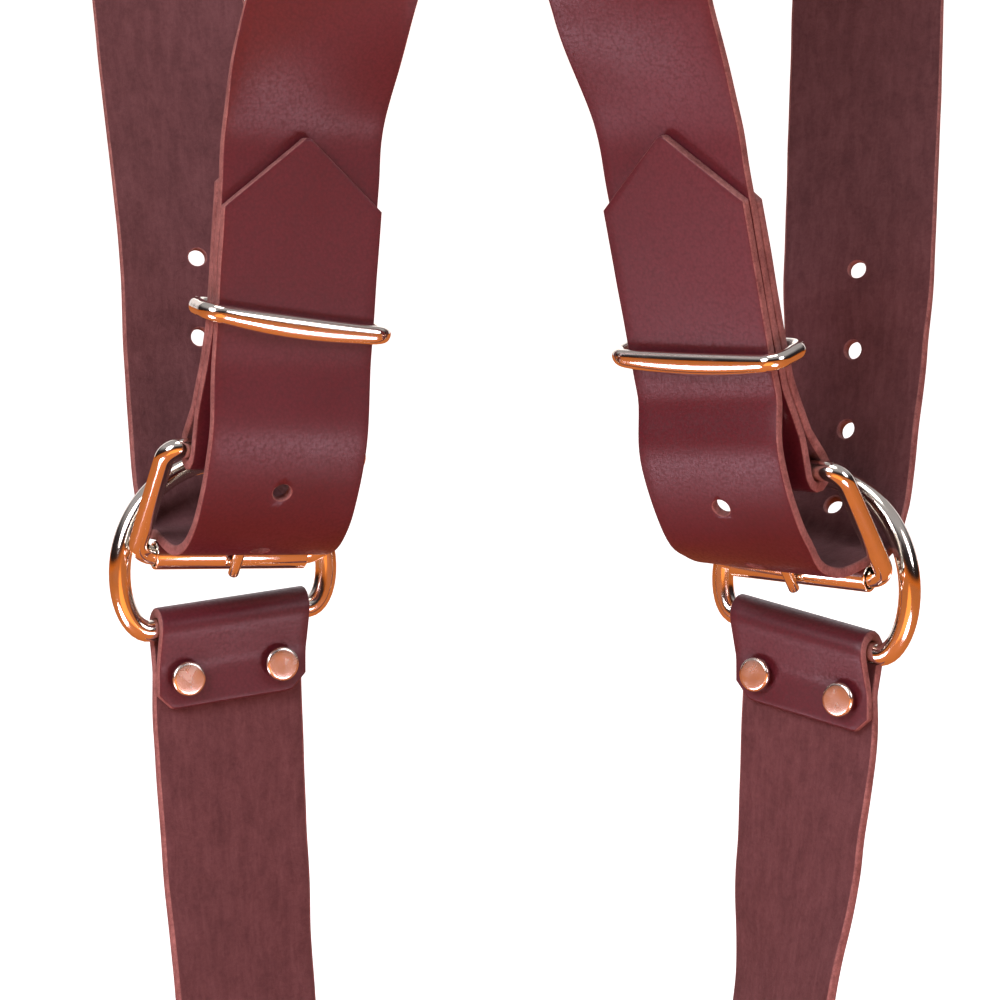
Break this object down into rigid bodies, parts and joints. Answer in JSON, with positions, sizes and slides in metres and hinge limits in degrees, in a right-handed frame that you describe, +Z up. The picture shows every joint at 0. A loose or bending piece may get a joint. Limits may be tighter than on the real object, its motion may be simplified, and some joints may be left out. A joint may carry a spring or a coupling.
{
  "type": "leather harness suspenders",
  "caption": "Leather harness suspenders with roller buckles, keepers, D-rings and lower straps ending in swivel snap hooks, joined by a riveted back yoke.",
  "frame": {"origin": "midway between the tops of the two shoulder straps, level with their undersides", "axes": "+Z up, +X to the viewer's right, +Y from the back yoke towards the chest straps"},
  "size_m": [0.2155, 0.1249, 0.608],
  "materials": {
    "leather": "semi-gloss burgundy grain side, matt flesh side, raw edges",
    "hardware": "polished nickel",
    "rivets": "polished nickel caps"
  },
  "bodies": {
    "straps": {"back_yoke": "leather", "back_strap_left": "leather", "back_strap_right": "leather", "shoulder_strap_left": "leather", "shoulder_strap_right": "leather", "heel_rivet_left_1": "rivets", "heel_rivet_left_2": "rivets", "heel_rivet_right_1": "rivets", "heel_rivet_right_2": "rivets", "yoke_rivet_lower_left_1": "rivets", "yoke_rivet_lower_left_2": "rivets", "yoke_rivet_lower_right_1": "rivets", "yoke_rivet_lower_right_2": "rivets", "yoke_rivet_upper_left_1": "rivets", "yoke_rivet_upper_left_2": "rivets", "yoke_rivet_upper_right_1": "rivets", "yoke_rivet_upper_right_2": "rivets"},
    "buckle_left": {"buckle_frame_left": "hardware"},
    "roller_left": {"buckle_roller_left": "hardware"},
    "tongue_left": {"buckle_tongue_left": "hardware"},
    "keeper_left": {"keeper_left": "hardware"},
    "ring_left": {"d_ring_left": "hardware"},
    "lower_left": {"lower_strap_left": "leather", "ring_rivet_left_1": "rivets", "ring_rivet_left_2": "rivets", "snap_rivet_left_1": "rivets", "snap_rivet_left_2": "rivets"},
    "loop_left": {"snap_loop_left": "hardware"},
    "hook_left": {"snap_hook_left": "hardware"},
    "bolt_left": {"snap_bolt_left": "hardware"},
    "buckle_right": {"buckle_frame_right": "hardware"},
    "roller_right": {"buckle_roller_right": "hardware"},
    "tongue_right": {"buckle_tongue_right": "hardware"},
    "keeper_right": {"keeper_right": "hardware"},
    "ring_right": {"d_ring_right": "hardware"},
    "lower_right": {"lower_strap_right": "leather", "ring_rivet_right_1": "rivets", "ring_rivet_right_2": "rivets", "snap_rivet_right_1": "rivets", "snap_rivet_right_2": "rivets"},
    "loop_right": {"snap_loop_right": "hardware"},
    "hook_right": {"snap_hook_right": "hardware"},
    "bolt_right": {"snap_bolt_right": "hardware"}
  },
  "joints": [
    {"name": "buckle_tilt_left", "type": "hinge", "parent": "straps", "child": "buckle_left", "pos_m": [-0.05264, -0.00627, -0.35342], "axis": [0.9135, 0.4067, 0], "range_deg": [-0.3, 0.2]},
    {"name": "roller_spin_left", "type": "hinge", "parent": "buckle_left", "child": "roller_left", "pos_m": [-0.0624, 0.01565, -0.3775], "axis": [0.9135, 0.4067, 0], "continuous": true},
    {"name": "tongue_lift_left", "type": "hinge", "parent": "buckle_left", "child": "tongue_left", "pos_m": [-0.05264, -0.00627, -0.35342], "axis": [0.9135, 0.4067, 0], "range_deg": [-0.2, 0.4]},
    {"name": "keeper_slide_left", "type": "slide", "parent": "straps", "child": "keeper_left", "axis": [0.0776, -0.1743, 0.9816], "range_m": [0, 0.014]},
    {"name": "ring_swing_left", "type": "hinge", "parent": "straps", "child": "ring_left", "pos_m": [-0.06521, 0.02067, -0.3707], "axis": [0.9057, 0.4033, 0.1305], "range_deg": [-3, 8]},
    {"name": "lower_swing_left", "type": "hinge", "parent": "ring_left", "child": "lower_left", "pos_m": [-0.0629, 0.02255, -0.3925], "axis": [0.9057, 0.4033, 0.1305], "range_deg": [-12, 35]},
    {"name": "snap_swing_left", "type": "hinge", "parent": "lower_left", "child": "loop_left", "pos_m": [-0.0529, 0.02272, -0.54441], "axis": [0.785, 0.6167, 0.059], "range_deg": [-30, 30]},
    {"name": "snap_swivel_left", "type": "hinge", "parent": "loop_left", "child": "hook_left", "pos_m": [-0.0529, 0.02272, -0.54441], "axis": [-0.075, 0, 0.9972], "continuous": true},
    {"name": "bolt_slide_left", "type": "slide", "parent": "hook_left", "child": "bolt_left", "axis": [-0.075, 0, 0.9972], "range_m": [0, 0.008], "stiffness_N_per_m": 200, "springref_m": -0.004},
    {"name": "buckle_tilt_right", "type": "hinge", "parent": "straps", "child": "buckle_right", "pos_m": [0.05635, -0.0093, -0.35695], "axis": [0.7956, -0.5995, -0.0872], "range_deg": [-0.3, 0.2]},
    {"name": "roller_spin_right", "type": "hinge", "parent": "buckle_right", "child": "roller_right", "pos_m": [0.06914, 0.01117, -0.3809], "axis": [0.7956, -0.5995, -0.0872], "continuous": true},
    {"name": "tongue_lift_right", "type": "hinge", "parent": "buckle_right", "child": "tongue_right", "pos_m": [0.05635, -0.0093, -0.35695], "axis": [0.7956, -0.5995, -0.0872], "range_deg": [-0.2, 0.4]},
    {"name": "keeper_slide_right", "type": "slide", "parent": "straps", "child": "keeper_right", "axis": [-0.186, -0.2468, 0.9511], "range_m": [0, 0.014]},
    {"name": "ring_swing_right", "type": "hinge", "parent": "straps", "child": "ring_right", "pos_m": [0.07411, 0.01459, -0.37443], "axis": [0.7797, -0.5876, -0.2164], "range_deg": [-3, 8]},
    {"name": "lower_swing_right", "type": "hinge", "parent": "ring_right", "child": "lower_right", "pos_m": [0.07078, 0.01808, -0.3959], "axis": [0.7797, -0.5876, -0.2164], "range_deg": [-12, 35]},
    {"name": "snap_swing_right", "type": "hinge", "parent": "lower_right", "child": "loop_right", "pos_m": [0.05564, 0.01861, -0.5477], "axis": [0.4019, -0.9145, -0.0458], "range_deg": [-30, 30]},
    {"name": "snap_swivel_right", "type": "hinge", "parent": "loop_right", "child": "hook_right", "pos_m": [0.05564, 0.01861, -0.5477], "axis": [0.1132, 0, 0.9936], "continuous": true},
    {"name": "bolt_slide_right", "type": "slide", "parent": "hook_right", "child": "bolt_right", "axis": [0.1132, 0, 0.9936], "range_m": [0, 0.008], "stiffness_N_per_m": 200, "springref_m": -0.004}
  ]
}
